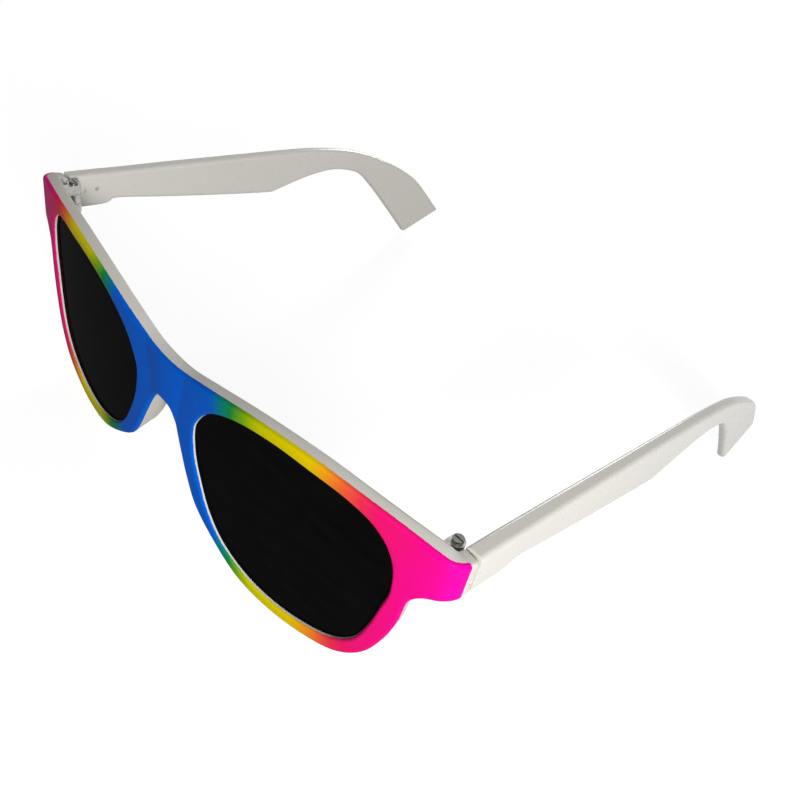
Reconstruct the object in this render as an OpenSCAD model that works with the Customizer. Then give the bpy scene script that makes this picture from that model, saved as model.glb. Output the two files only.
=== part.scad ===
// Diffraction glasses: a curved full-rim front with two dark lenses, each backed by a
// grating film, and two folding arms on three-barrel hinges set into the plastic.
// X runs across the face, the front looks towards -Y, the arms run towards +Y, and the
// glasses stand on Z = 0 on the bottoms of the rims and the tips of the arms.

/* [Lenses] */
// Width of one lens opening
lens_w = 51.8; // [46:0.1:58]
// Height of one lens opening
lens_h = 41.5; // [36:0.1:46]
// Gap between the two lens openings at their closest
bridge_w = 21.5; // [17:0.1:26]
// Thickness of a lens
lens_t = 1.5; // [1:0.1:2]
// Thickness of a grating film
film_t = 0.25; // [0.15:0.05:0.4]
// Depth of the groove that holds lens and film
groove_d = 1; // [0.6:0.1:1.2]

/* [Front] */
// Thickness of the front, from its painted face to its back
front_t = 3.8; // [3.4:0.1:5]
// Thickness of rim ahead of the lens groove
groove_lip = 0.9; // [0.7:0.1:1.2]
// Radius of the front's curve seen from above
base_curve_r = 265; // [180:5:400]
// Width of the rim over a lens
brow_w = 2.9; // [2.2:0.1:5]
// Width of the rim under a lens
rim_bottom_w = 2.7; // [2.2:0.1:4]
// Width of the rim on the temple side
rim_side_w = 4; // [3:0.1:6]
// Width of the rim on the nose side
rim_nose_w = 4.8; // [3.6:0.1:6]
// Height of the bridge at the middle
bridge_h = 10.9; // [8:0.1:14]
// How far the top of the bridge lies under the top of the lenses
bridge_drop = 2.8; // [1:0.1:5]
// Rounding of the rim's edges
edge_r = 0.7; // [0.4:0.1:0.9]
// How far the nose pads stand out of the back
pad_depth = 4.6; // [2:0.1:7]
// Slope of the nose pads away from the nose, in degrees
pad_flare = 24; // [10:1:35]

/* [End pieces] */
// Width of front beside a lens, out to the side of the glasses
end_w = 9.9; // [8.5:0.1:14]
// Height of an end piece where it meets the arm
end_h = 8.8; // [8.4:0.1:12]
// Outer radius of the bend into the arm
wrap_r = 4.6; // [4.4:0.1:6]
// Straight run of end piece after the bend
wrap_run = 2; // [1.6:0.1:4]

/* [Arms] */
// Length of an arm, hinge to tip
arm_l = 142; // [125:1:155]
// Thickness of an arm at the hinge
arm_t = 3.8; // [3.4:0.1:4.6]
// Thickness of an arm at its tip
tip_t = 2.4; // [1.8:0.1:3]
// How far the arm drops from the hinge to the corner of its tip
tip_drop = 29.7; // [24:0.1:36]
// Height of the arm at its deepest corner
arm_deep_h = 12.4; // [10.5:0.1:15]
// Height of the arm at its neck, ahead of the ear
arm_neck_h = 6.6; // [5:0.1:9]
// Width of the tip's cut end
tip_w = 16.4; // [12:0.1:20]
// Slope of the tip's cut end, in degrees
tip_cut = 27; // [20:1:34]
// How far the tip leans in towards the head
tip_lean = 3; // [0:0.1:3.4]
// Rounding of the arm's edges
arm_edge_r = 1; // [0.6:0.1:1.1]
// Length of the full-height block at the hinge
block_l = 10; // [8:0.5:12]
// Height of the step in the lower edge behind that block
step_h = 1.3; // [0.8:0.1:1.6]
// Distance of the arm's deepest corner from the hinge
deep_s = 64; // [58:1:70]
// Distance of the arm's neck from the hinge
neck_s = 88; // [82:1:94]

/* [Hinges] */
// Outer radius of a hinge barrel
barrel_r = 1.5; // [1.3:0.05:1.6]
// Radius of the hinge screw's shank
screw_r = 0.7; // [0.5:0.05:0.8]
// Height of the three barrels together
hinge_h = 7.4; // [6:0.1:8]
// Thickness of the hinge leaves
leaf_t = 0.8; // [0.6:0.05:0.9]
// Thickness of plastic over a leaf
leaf_cover = 0.8; // [0.6:0.05:1]
// Length of the leaf in the arm
leaf_l = 9; // [8:0.1:12]
// Height of the leaf in the arm
leaf_h = 5.6; // [5:0.1:6]
// Width of the leaf in the front
front_leaf_w = 4; // [3.6:0.1:4.2]
// Distance between the two pins in the front
rivet_pitch = 4.2; // [3.4:0.1:4.6]
// Radius of the pins that hold the leaves in the plastic
rivet_r = 0.55; // [0.4:0.05:0.6]
// How far those pins reach past a leaf
rivet_past = 0.8; // [0.5:0.1:1]
// Radius of the screw's head
head_r = 1.1; // [0.95:0.05:1.3]
// Height of the screw's head
head_h = 0.7; // [0.5:0.05:0.9]
// Width and depth of the slot in that head
slot_w = 0.3; // [0.2:0.05:0.4]

/* [Clearances] */
// Gap round a lens in its groove
lens_gap = 0.1; // [0.05:0.01:0.2]
// Gap between the end piece and the arm
joint_gap = 0.2; // [0.1:0.05:0.4]
// Running clearance of the arm's barrel on the screw
pin_gap = 0.04; // [0.02:0.01:0.08]
// Clearance of a fixed pin in its hole
fixed_gap = 0.02; // [0.01:0.01:0.05]
// Gap between a leaf and the plastic, and between barrels
leaf_gap = 0.08; // [0.05:0.01:0.15]
// Free space round the arm's inner face at the barrels
barrel_space = 0.3; // [0.2:0.05:0.5]

/* [Hidden] */
pin_fn = 48;
// How far a cutting shape reaches past the face it cuts through
cut = 1;

// The main places on the front, in millimetres across and above the table
lens_x = bridge_w / 2 + lens_w / 2;
lens_z = rim_bottom_w + lens_h / 2;
lens_top = rim_bottom_w + lens_h;
lens_side = bridge_w / 2 + lens_w;
half_w = lens_side + end_w;
bridge_top = lens_top - bridge_drop;
bridge_arch = bridge_top - bridge_h;
end_top = lens_top - 0.4;
end_low = end_top - end_h;
hinge_z = end_top - end_h / 2;
groove_w = lens_t + film_t + 3 * leaf_gap;

// The front's curve seen from above: an arc, a tight bend and a straight run.
// Places on the front are given on its flat pattern, u across and z up, and a depth
// behind the painted face; bend() carries them onto the curve.
bend_x = half_w - wrap_r;
bend_start_angle = asin(bend_x / (base_curve_r - wrap_r));
bend_angle = 90 - bend_start_angle;
bend_start_u = base_curve_r * bend_start_angle * PI / 180;
bend_l = wrap_r * bend_angle * PI / 180;
end_u = bend_start_u + bend_l + wrap_run;
bend_y = base_curve_r - (base_curve_r - wrap_r) * cos(bend_start_angle);
joint_y = bend_y + wrap_run;

function bend(u, z, depth) =
    u < bend_start_u
        ? let (a = u / base_curve_r * 180 / PI)
            [(base_curve_r - depth) * sin(a), base_curve_r - (base_curve_r - depth) * cos(a), z]
    : u < bend_start_u + bend_l
        ? let (a = bend_start_angle + (u - bend_start_u) / wrap_r * 180 / PI)
            [bend_x + (wrap_r - depth) * sin(a), bend_y - (wrap_r - depth) * cos(a), z]
    : [half_w - depth, bend_y + u - bend_start_u - bend_l, z];

// A curve through points that keeps close to them where their spacing is uneven
function knot(a, b) = max(0.001, pow(norm(b - a), 0.5));
function curve_at(p0, p1, p2, p3, t) =
    let (
        d1 = knot(p0, p1), d2 = knot(p1, p2), d3 = knot(p2, p3),
        m1 = (p1 - p0) / d1 - (p2 - p0) / (d1 + d2) + (p2 - p1) / d2,
        m2 = (p2 - p1) / d2 - (p3 - p1) / (d2 + d3) + (p3 - p2) / d3
    )
    (2 * pow(t, 3) - 3 * pow(t, 2) + 1) * p1 + (pow(t, 3) - 2 * pow(t, 2) + t) * d2 * m1
    + (3 * pow(t, 2) - 2 * pow(t, 3)) * p2 + (pow(t, 3) - pow(t, 2)) * d2 * m2;
function curve(points, steps) = [
    for (i = [1 : len(points) - 3], j = [0 : steps - 1])
        curve_at(points[i - 1], points[i], points[i + 1], points[i + 2], j / steps)
];
function mix(a, b, t) = a + (b - a) * t;
function unit(v) = v / norm(v);
function left_of(v) = [-v[1], v[0]];
function across(x) = [-x[0], x[1]];

// Outline of the front, as pairs of a point on the lens opening and the point of the
// outer edge that lies across the rim from it, then the depth of the nose pad there.
// A point on the opening is given in half widths and half heights from its centre.
function lens_point(x, z) = [lens_x + x * lens_w / 2, lens_z + z * lens_h / 2];
rim_pairs = [
    [lens_point(-0.89, 0.62), [0, bridge_top], 0],
    [lens_point(-0.80, 0.73), [bridge_w * 0.28, bridge_top + 0.4], 0],
    [lens_point(-0.65, 0.835), [bridge_w / 2 + 2.3, lens_top - 0.9], 0],
    [lens_point(-0.43, 0.93), lens_point(-0.43, 1) + [-1, brow_w - 1.6], 0],
    [lens_point(-0.10, 0.995), lens_point(-0.12, 1) + [0, brow_w - 0.5], 0],
    [lens_point(0.22, 1.0), lens_point(0.25, 1) + [0, brow_w], 0],
    [lens_point(0.52, 0.985), lens_point(0.58, 1) + [0, brow_w - 0.3], 0],
    [lens_point(0.74, 0.92), [lens_side - 1.5, end_top + 2.3], 0],
    [lens_point(0.87, 0.81), [bend_start_u - 0.6, end_top + 1.2], 0],
    [lens_point(0.92, 0.73), [end_u - 1.6, end_top], 0],
    [lens_point(0.935, 0.70), [end_u - 0.4, end_top - 0.4], 0],
    [lens_point(0.945, 0.675), [end_u, end_top - 1.5], 0],
    [lens_point(0.968, 0.605), [end_u, end_low + 1.5], 0],
    [lens_point(0.973, 0.585), [end_u - 0.4, end_low + 0.4], 0],
    [lens_point(0.976, 0.575), [end_u - 1.6, end_low], 0],
    [lens_point(0.979, 0.56), [bend_start_u + 3, end_low - 0.2], 0],
    [lens_point(0.99, 0.48), [bend_start_u - 0.3, end_low - 1.3], 0],
    [lens_point(1.0, 0.27), [lens_side + rim_side_w, end_low - 4.6], 0],
    [lens_point(0.965, 0.03), lens_point(1, -0.02) + [rim_side_w - 1, 0], 0],
    [lens_point(0.915, -0.29), lens_point(0.915, -0.32) + [rim_side_w - 0.2, 0], 0],
    [lens_point(0.82, -0.61), lens_point(0.86, -0.68) + [rim_bottom_w - 1, -0.6], 0],
    [lens_point(0.64, -0.82), lens_point(0.66, -0.86) + [1.4, 0.7 - rim_bottom_w], 0],
    [lens_point(0.33, -0.955), lens_point(0.35, -0.96) + [0.4, -rim_bottom_w], 0],
    [lens_point(0.0, -1.0), lens_point(0, -1) + [0, -rim_bottom_w], 0],
    [lens_point(-0.30, -0.955), lens_point(-0.32, -0.95) + [-0.6, 0.1 - rim_bottom_w], 0],
    [lens_point(-0.59, -0.79), lens_point(-0.60, -0.80) + [0.3 - rim_nose_w / 2, -1.1], 0.8],
    [lens_point(-0.77, -0.55), lens_point(-0.77, -0.57) + [0.8 - rim_nose_w, -0.8], 3.4],
    [lens_point(-0.875, -0.30), lens_point(-0.875, -0.31) + [0.3 - rim_nose_w, -0.6], pad_depth],
    [lens_point(-0.965, -0.02), lens_point(-0.965, -0.03) + [-rim_nose_w, -0.6], pad_depth - 0.8],
    [lens_point(-0.995, 0.18), [bridge_w * 0.19, bridge_arch - 2.6], 1.8],
    [lens_point(-1.0, 0.31), [bridge_w * 0.107, bridge_arch - 0.4], 0.5],
    [lens_point(-0.985, 0.42), [0, bridge_arch], 0]
];
rim_steps = 2;
pair_count = len(rim_pairs);
opening_points = [
    for (p = concat([rim_pairs[pair_count - 1]], rim_pairs, [rim_pairs[0]])) p[0]
];
outline_points = concat(
    [across(rim_pairs[1][1])],
    [for (p = rim_pairs) p[1]],
    [across(rim_pairs[pair_count - 2][1])]
);
pad_points = concat([0], [for (p = rim_pairs) p[2]], [0]);
// The mirror plane closes the half front with a few more stations
cut_shares = [0.25, 0.5, 0.75];
opening = concat(
    curve(opening_points, rim_steps),
    [rim_pairs[pair_count - 1][0]],
    [for (t = cut_shares) curve_at(
        rim_pairs[pair_count - 2][0], rim_pairs[pair_count - 1][0],
        rim_pairs[0][0], rim_pairs[1][0], t)]
);
outline = concat(
    curve(outline_points, rim_steps),
    [[0, bridge_arch]],
    [for (t = cut_shares) [0, mix(bridge_arch, bridge_top, t)]]
);
pad_depths = concat(
    [for (i = [1 : pair_count - 1], j = [0 : rim_steps - 1])
        mix(pad_points[i], pad_points[i + 1], j / rim_steps)],
    [0],
    [for (t = cut_shares) 0]
);
station_count = len(opening);
rim_last = station_count - len(cut_shares) - 1;

// Direction into the rim at a station, square to the lens opening or to the outer edge
function opening_normal(i) =
    let (n = station_count)
    unit(left_of(opening[(i + 1) % n] - opening[(i + n - 1) % n]));
function outline_normal(i) =
    i == 0 ? [0, -1]
    : i == rim_last ? [0, 1]
    : i > rim_last ? [0, 0]
    : -unit(left_of(outline[i + 1] - outline[i - 1]));

// Shares of the rim's width at which its faces have points. Where the section runs
// across the bend, the points lie on the bend.
column_count = 5;
function column_share(a, b, k) =
    b[0] > bend_start_u
        ? let (u = bend_start_u + bend_l * (k - 1) / (column_count - 1), e = 0.03)
            min(1 - e * (column_count + 1 - k), max(e * k, (u - a[0]) / (b[0] - a[0])))
        : k / (column_count + 1);

// Section of the rim at a station: the front face, the outer edge, the back face and
// the inner edge with its lens groove, as points of u, z and depth
round_in = 0.29;
function rim_section(i) =
    let (
        a = opening[i], m = opening_normal(i),
        b = outline[i], n = outline_normal(i),
        r = edge_r,
        pad = pad_depths[i],
        flare = n * pad * tan(pad_flare),
        a1 = a + m * r,
        b1 = b + n * r,
        back = front_t + pad,
        groove_end = groove_lip + groove_w
    )
    concat(
        [[a, r], [a + m * r * round_in, r * round_in], [a1, 0]],
        [for (k = [1 : column_count]) [mix(a1, b1, column_share(a1, b1, k)), 0]],
        [[b1, 0], [b + n * r * round_in, r * round_in], [b, r]],
        [[b + flare, back - r], [b + flare + n * r * round_in, back - r * round_in]],
        [[b1 + flare, back]],
        [for (k = [column_count : -1 : 1])
            let (t = column_share(a1, b1, k))
            [mix(a1, b1 + flare, t), front_t + pad * pow(t, 2)]],
        [[a1, front_t], [a + m * r * round_in, front_t - r * round_in]],
        [[a, front_t - min(r, front_t - groove_end - 0.1)]],
        [[a, groove_end], [a + m * groove_d, groove_end]],
        [[a + m * groove_d, groove_lip], [a, groove_lip]]
    );
function bent(section) = [for (p = section) bend(p[0][0], p[0][1], p[1])];

// Closed skin over a ring of sections of the half front and its mirror image. The two
// halves share their points on the mirror plane, and have no faces there.
module mirrored_ring_skin(sections) {
    n = len(sections);
    m = len(sections[0]);
    points = [for (s = sections, p = s) p];
    mirrored = [for (p = points) [-p[0], p[1], p[2]]];
    faces = [
        for (i = [0 : n - 1], j = [0 : m - 1], h = [0, 1])
            let (
                a = i * m + j, b = i * m + (j + 1) % m,
                c = (i + 1) % n * m + (j + 1) % m, d = (i + 1) % n * m + j,
                face = h == 0 ? [a, b, c] : [a, c, d]
            )
            if (points[a][0] + points[b][0] + points[c][0] + points[d][0] > 0) face
    ];
    mirrored_faces = [
        for (f = faces)
            [for (k = [f[0], f[2], f[1]]) points[k][0] == 0 ? k : k + n * m]
    ];
    polyhedron(concat(points, mirrored), concat(faces, mirrored_faces), convexity = 6);
}

// Closed skin over a row of sections, capped at both ends
module row_skin(sections) {
    n = len(sections);
    m = len(sections[0]);
    points = [for (s = sections, p = s) p];
    sides = [
        for (i = [0 : n - 2], j = [0 : m - 1], h = [0, 1])
            let (
                a = i * m + j, b = i * m + (j + 1) % m,
                c = (i + 1) * m + (j + 1) % m, d = (i + 1) * m + j
            )
            h == 0 ? [a, b, c] : [a, c, d]
    ];
    caps = concat(
        [for (j = [1 : m - 2]) [0, j + 1, j]],
        [for (j = [1 : m - 2]) [(n - 1) * m, (n - 1) * m + j, (n - 1) * m + j + 1]]
    );
    polyhedron(points, concat(sides, caps), convexity = 6);
}

module both_sides() {
    children();
    mirror([1, 0, 0]) children();
}

// The hinge leaves lie inside the plastic, and only their barrels and webs stand out.
// The front's leaf lies just inside the bend.
leaf_wall = 1.05;
leaf_u = bend_start_u - front_leaf_w / 2 - leaf_wall;
leaf_angle = leaf_u / base_curve_r * 180 / PI;
leaf_depth = front_t - leaf_cover - leaf_t;
axis_x = half_w - arm_t - barrel_r - barrel_space;
axis_y = joint_y;
barrel_h = (hinge_h - 2 * leaf_gap) / 3;
barrel_pitch = barrel_h + leaf_gap;
leaf_y = bend(leaf_u, 0, front_t - leaf_cover - leaf_t / 2)[1];

// Barrels stand one above another on the hinge axis
module on_axis(level) {
    translate([axis_x, axis_y, hinge_z + level * barrel_pitch - barrel_h / 2]) children();
}

// At a leaf in the front, with its near face on the plane and local Y to the back
module at_front_leaf(across, z) {
    translate(bend(leaf_u, z, leaf_depth)) rotate([0, 0, leaf_angle]) {
        translate([across, 0, 0]) children();
    }
}

module front_leaf_plate(gap) {
    at_front_leaf(-front_leaf_w / 2 - gap, hinge_z - hinge_h / 2 - gap) translate([0, -gap, 0]) {
        cube([front_leaf_w + 2 * gap, leaf_t + 2 * gap, hinge_h + 2 * gap]);
    }
}

// Webs from the leaf in the front back to its two barrels
module front_webs(gap) {
    for (level = [-1, 1]) {
        on_axis(level) translate([-barrel_r - gap, leaf_y - axis_y - gap, -gap]) {
            cube([barrel_r + 2 * gap, axis_y - leaf_y + gap, barrel_h + 2 * gap]);
        }
    }
}

// Pins through the front's leaf, from the back face into the plastic ahead of the leaf
front_pin_x = -front_leaf_w / 4;
pin_l = leaf_cover + leaf_t + rivet_past;
module front_pins(r, proud, past) {
    for (side = [-1, 1]) {
        at_front_leaf(front_pin_x, hinge_z + side * rivet_pitch / 2) {
            translate([0, leaf_t + leaf_cover + proud, 0]) rotate([90, 0, 0]) {
                cylinder(r = r, h = pin_l + proud + past, $fn = pin_fn);
            }
        }
    }
}

module front_shell() {
    mirrored_ring_skin([for (i = [0 : station_count - 1]) bent(rim_section(i))]);
}

module front_with_pockets() {
    difference() {
        front_shell();
        both_sides() {
            front_leaf_plate(leaf_gap);
            front_webs(leaf_gap);
            front_pins(rivet_r + fixed_gap, cut, leaf_gap);
        }
    }
}

// A plate that follows the front's curve, cut to the lens opening plus a margin
module curved_plate(margin, near, far) {
    rings = [0.55, 1];
    centre = [lens_x, lens_z];
    edge = [for (i = [0 : station_count - 1]) opening[i] + opening_normal(i) * margin];
    n = station_count;
    function face_points(depth) = concat(
        [bend(centre[0], centre[1], depth)],
        [for (t = rings, p = edge)
            let (q = mix(centre, p, t)) bend(q[0], q[1], depth)]
    );
    points = concat(face_points(near), face_points(far));
    back = len(rings) * n + 1;
    faces = concat(
        [for (i = [0 : n - 1]) let (k = (i + 1) % n) [0, 1 + i, 1 + k]],
        [for (i = [0 : n - 1], h = [0, 1])
            let (k = (i + 1) % n)
            h == 0 ? [1 + i, 1 + n + i, 1 + n + k] : [1 + i, 1 + n + k, 1 + k]],
        [for (i = [0 : n - 1]) let (k = (i + 1) % n) [back, back + 1 + k, back + 1 + i]],
        [for (i = [0 : n - 1], h = [0, 1])
            let (k = (i + 1) % n)
            h == 0 ? [back + 1 + i, back + 1 + n + k, back + 1 + n + i]
                : [back + 1 + i, back + 1 + k, back + 1 + n + k]],
        [for (i = [0 : n - 1], h = [0, 1])
            let (k = (i + 1) % n, f = 1 + n, b = back + 1 + n)
            h == 0 ? [f + i, b + i, b + k] : [f + i, b + k, f + k]]
    );
    polyhedron(points, faces, convexity = 4);
}

lens_front = groove_lip + leaf_gap;
film_front = lens_front + lens_t + leaf_gap;
module lens() {
    curved_plate(groove_d - lens_gap, lens_front, lens_front + lens_t);
}

module grating_film() {
    curved_plate(groove_d - lens_gap, film_front, film_front + film_t);
}

// The arm lies in its own frame: s runs back from the hinge along its top edge and
// h is the height from the middle of the hinge. It slopes just enough for the corner
// of its tip to stand on the table, level with the bottoms of the rims.
corner_s = arm_l - tip_w * cos(tip_cut);
arm_slope = asin(hinge_z / norm([corner_s, tip_drop])) - atan(tip_drop / corner_s);
arm_top = end_h / 2;
function arm_place(s, h) = [
    joint_y + joint_gap + s * cos(arm_slope) + h * sin(arm_slope),
    hinge_z - s * sin(arm_slope) + h * cos(arm_slope)
];
function end_point(h) = [-h * tan(arm_slope), h];
tail_s = arm_l - neck_s;
step_low = step_h - arm_top;
deep_low = arm_top + 0.4 - arm_deep_h;
rise_low = mix(deep_low, arm_top - arm_neck_h, 0.6);
// Pairs of a point on the top edge and the point of the lower edge below it
arm_pairs = [
    [end_point(arm_top), end_point(-arm_top)],
    [[block_l - 2, arm_top + 0.1], [block_l - 1.2, 0.2 - arm_top]],
    [[block_l, arm_top + 0.1], [block_l + 0.2, 0.5 - arm_top]],
    [[block_l + 1, arm_top + 0.1], [block_l + 1.4, step_low]],
    [[block_l + 4, arm_top + 0.1], [block_l + 4, step_low]],
    [[deep_s * 0.42, arm_top + 0.3], [deep_s * 0.42, mix(step_low, deep_low, 0.3)]],
    [[deep_s * 0.72, arm_top + 0.4], [deep_s * 0.72, mix(step_low, deep_low, 0.7)]],
    [[deep_s - 1.6, arm_top + 0.5], [deep_s - 1.6, deep_low + 0.1]],
    [[deep_s, arm_top + 0.5], [deep_s, deep_low + 0.1]],
    [[deep_s + 2, arm_top + 0.5], [deep_s + 1.6, deep_low + 0.5]],
    [[mix(deep_s, neck_s, 0.54), arm_top + 0.4], [mix(deep_s, neck_s, 0.46), rise_low]],
    [[neck_s, arm_top - 0.4], [neck_s - 3, arm_top - 0.4 - arm_neck_h]],
    [[neck_s + 0.19 * tail_s, arm_top - 2.1], [neck_s + 0.07 * tail_s, arm_top - 0.7 - arm_neck_h]],
    [[neck_s + 0.38 * tail_s, arm_top - 0.18 * tip_drop], [neck_s + 0.21 * tail_s, -0.17 * tip_drop]],
    [[neck_s + 0.56 * tail_s, arm_top - 0.31 * tip_drop], [neck_s + 0.35 * tail_s, -0.36 * tip_drop]],
    [[neck_s + 0.73 * tail_s, arm_top - 0.48 * tip_drop], [neck_s + 0.49 * tail_s, -0.59 * tip_drop]],
    [[neck_s + 0.89 * tail_s, arm_top - 0.72 * tip_drop], [neck_s + 0.62 * tail_s, -0.81 * tip_drop]],
    [[arm_l, tip_w * sin(tip_cut) - tip_drop], [corner_s, -tip_drop]]
];
arm_steps = 2;
arm_tops = [for (p = concat([arm_pairs[0]], arm_pairs, [arm_pairs[len(arm_pairs) - 1]])) p[0]];
arm_lows = [for (p = concat([arm_pairs[0]], arm_pairs, [arm_pairs[len(arm_pairs) - 1]])) p[1]];
arm_top_line = concat(curve(arm_tops, arm_steps), [arm_pairs[len(arm_pairs) - 1][0]]);
arm_low_line = concat(curve(arm_lows, arm_steps), [arm_pairs[len(arm_pairs) - 1][1]]);

// Outer face of the arm, and its thickness, at a distance behind the hinge
function arm_share(s) = max(0, min(1, (s - deep_s) / (arm_l - deep_s)));
function arm_out(s) = half_w - tip_lean * pow(arm_share(s), 2);
function arm_thick(s) = mix(arm_t, tip_t, max(0, min(1, (s - block_l) / (arm_l - block_l))));

// Rounded section of the arm between a point of the lower edge and one of the top
corner_turns = [0, 45, 90];
function arm_section(low, top) =
    let (
        e = unit(top - low), r = arm_edge_r,
        corners = [
            [low + e * r, 1, 180], [low + e * r, 0, 270],
            [top - e * r, 0, 0], [top - e * r, 1, 90]
        ]
    )
    [
        for (c = corners, turn = corner_turns)
            let (
                a = c[2] + turn,
                p = c[0] + e * r * sin(a),
                t = arm_thick(p[0]),
                v = (c[1] == 1 ? t - r : r) - r * cos(a),
                q = arm_place(p[0], p[1])
            )
            [arm_out(p[0]) - v, q[0], q[1]]
    ];

// Leaf, web and pins of the hinge in the arm. The leaf slides in from the arm's end.
arm_face_x = half_w - arm_t;
arm_leaf_x = arm_face_x + leaf_cover;
web_start = joint_gap + leaf_gap;
web_l = barrel_r - web_start;
arm_pin_y = [leaf_l * 0.38, leaf_l * 0.76];

module arm_leaf_plate(gap, open_end) {
    translate([arm_leaf_x - gap, axis_y + web_start - open_end, hinge_z - leaf_h / 2 - gap]) {
        cube([leaf_t + 2 * gap, leaf_l - web_start + open_end + gap, leaf_h + 2 * gap]);
    }
}

module arm_web(gap, open_end) {
    translate([axis_x, axis_y + web_start - open_end, hinge_z - barrel_h / 2 - gap]) {
        cube([arm_leaf_x + leaf_t / 2 - axis_x, web_l + open_end + gap, barrel_h + 2 * gap]);
    }
}

// Pins through the arm's leaf, from the inner face into the plastic beyond the leaf
module arm_pins(r, proud, past) {
    for (y = arm_pin_y) {
        translate([arm_face_x - proud, axis_y + y, hinge_z]) rotate([0, 90, 0]) {
            cylinder(r = r, h = pin_l + proud + past, $fn = pin_fn);
        }
    }
}

module temple() {
    difference() {
        row_skin([
            for (i = [0 : len(arm_top_line) - 1]) arm_section(arm_low_line[i], arm_top_line[i])
        ]);
        arm_leaf_plate(leaf_gap, cut);
        arm_web(leaf_gap, cut);
        arm_pins(rivet_r + fixed_gap, cut, leaf_gap);
    }
}

module front_hinge() {
    difference() {
        union() {
            front_leaf_plate(0);
            front_webs(0);
            for (level = [-1, 1]) {
                on_axis(level) cylinder(r = barrel_r, h = barrel_h, $fn = pin_fn);
            }
        }
        front_pins(rivet_r + fixed_gap, cut, cut);
        for (level = [-1, 1]) {
            on_axis(level) translate([0, 0, -cut]) {
                cylinder(r = screw_r + fixed_gap, h = barrel_h + 2 * cut, $fn = pin_fn);
            }
        }
    }
}

module temple_hinge() {
    difference() {
        union() {
            arm_leaf_plate(0, 0);
            arm_web(0, 0);
            on_axis(0) cylinder(r = barrel_r, h = barrel_h, $fn = pin_fn);
        }
        on_axis(0) translate([0, 0, -cut]) {
            cylinder(r = screw_r + pin_gap, h = barrel_h + 2 * cut, $fn = pin_fn);
        }
        arm_pins(rivet_r + fixed_gap, cut, cut);
    }
}

// The shank passes the three barrels; the head rests on the top one
module hinge_screw() {
    translate([axis_x, axis_y, hinge_z]) {
        difference() {
            union() {
                translate([0, 0, -hinge_h / 2]) {
                    cylinder(r = screw_r, h = hinge_h + 2 * fixed_gap, $fn = pin_fn);
                }
                translate([0, 0, hinge_h / 2 + fixed_gap]) {
                    cylinder(r = head_r, h = head_h, $fn = pin_fn);
                }
            }
            translate([-head_r - cut, -slot_w / 2, hinge_h / 2 + fixed_gap + head_h - slot_w]) {
                cube([2 * (head_r + cut), slot_w, cut]);
            }
        }
    }
}

module front_rivets() {
    front_pins(rivet_r, -fixed_gap, -fixed_gap);
}

module temple_rivets() {
    arm_pins(rivet_r, -fixed_gap, -fixed_gap);
}

// The origin lies on the table, under the middle of the glasses
depth = arm_place(arm_pairs[len(arm_pairs) - 1][0][0], arm_pairs[len(arm_pairs) - 1][0][1])[0];
module placed() {
    translate([0, -depth / 2, 0]) children();
}
module placed_left() {
    mirror([1, 0, 0]) placed() children();
}

module front_frame() { placed() color("deepskyblue") front_with_pockets(); }
module lens_right() { placed() color("black") lens(); }
module lens_left() { placed_left() color("black") lens(); }
module grating_film_right() { placed() color("lightsteelblue") grating_film(); }
module grating_film_left() { placed_left() color("lightsteelblue") grating_film(); }
module temple_right() { placed() color("ivory") temple(); }
module temple_left() { placed_left() color("ivory") temple(); }
module front_hinge_right() { placed() color("silver") front_hinge(); }
module front_hinge_left() { placed_left() color("silver") front_hinge(); }
module temple_hinge_right() { placed() color("lightgrey") temple_hinge(); }
module temple_hinge_left() { placed_left() color("lightgrey") temple_hinge(); }
module hinge_screw_right() { placed() color("dimgrey") hinge_screw(); }
module hinge_screw_left() { placed_left() color("dimgrey") hinge_screw(); }
module front_rivets_right() { placed() color("grey") front_rivets(); }
module front_rivets_left() { placed_left() color("grey") front_rivets(); }
module temple_rivets_right() { placed() color("grey") temple_rivets(); }
module temple_rivets_left() { placed_left() color("grey") temple_rivets(); }

front_frame();
lens_left();
lens_right();
grating_film_left();
grating_film_right();
temple_left();
temple_right();
front_hinge_left();
front_hinge_right();
temple_hinge_left();
temple_hinge_right();
hinge_screw_left();
hinge_screw_right();
front_rivets_left();
front_rivets_right();
temple_rivets_left();
temple_rivets_right();
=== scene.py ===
"""Looks of the diffraction glasses: finer front, arms, lenses and films built from the
same named sizes as the part's source, painted and moulded finishes, lights and camera."""
import math

import bmesh
import bpy
import numpy as np
from mathutils import Matrix, Quaternion, Vector


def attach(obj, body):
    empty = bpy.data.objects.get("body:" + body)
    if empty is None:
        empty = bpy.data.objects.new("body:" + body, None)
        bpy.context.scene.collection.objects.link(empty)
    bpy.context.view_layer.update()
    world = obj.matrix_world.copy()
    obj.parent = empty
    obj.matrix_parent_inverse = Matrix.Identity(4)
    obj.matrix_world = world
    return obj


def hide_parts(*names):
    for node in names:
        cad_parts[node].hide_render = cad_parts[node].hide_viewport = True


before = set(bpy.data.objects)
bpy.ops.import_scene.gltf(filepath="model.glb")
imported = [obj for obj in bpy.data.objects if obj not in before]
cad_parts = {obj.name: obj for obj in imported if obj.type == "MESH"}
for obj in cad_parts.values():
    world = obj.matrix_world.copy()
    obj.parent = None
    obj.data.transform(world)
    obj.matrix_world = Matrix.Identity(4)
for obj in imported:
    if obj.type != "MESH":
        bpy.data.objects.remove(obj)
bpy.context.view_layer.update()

MM = 0.001
SIDES = {"right": 1, "left": -1}

# Sizes of the lenses in millimetres, as in the part's source
LENS_W = 51.8
LENS_H = 41.5
BRIDGE_W = 21.5
LENS_T = 1.5
FILM_T = 0.25
GROOVE_D = 1.0

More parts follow.
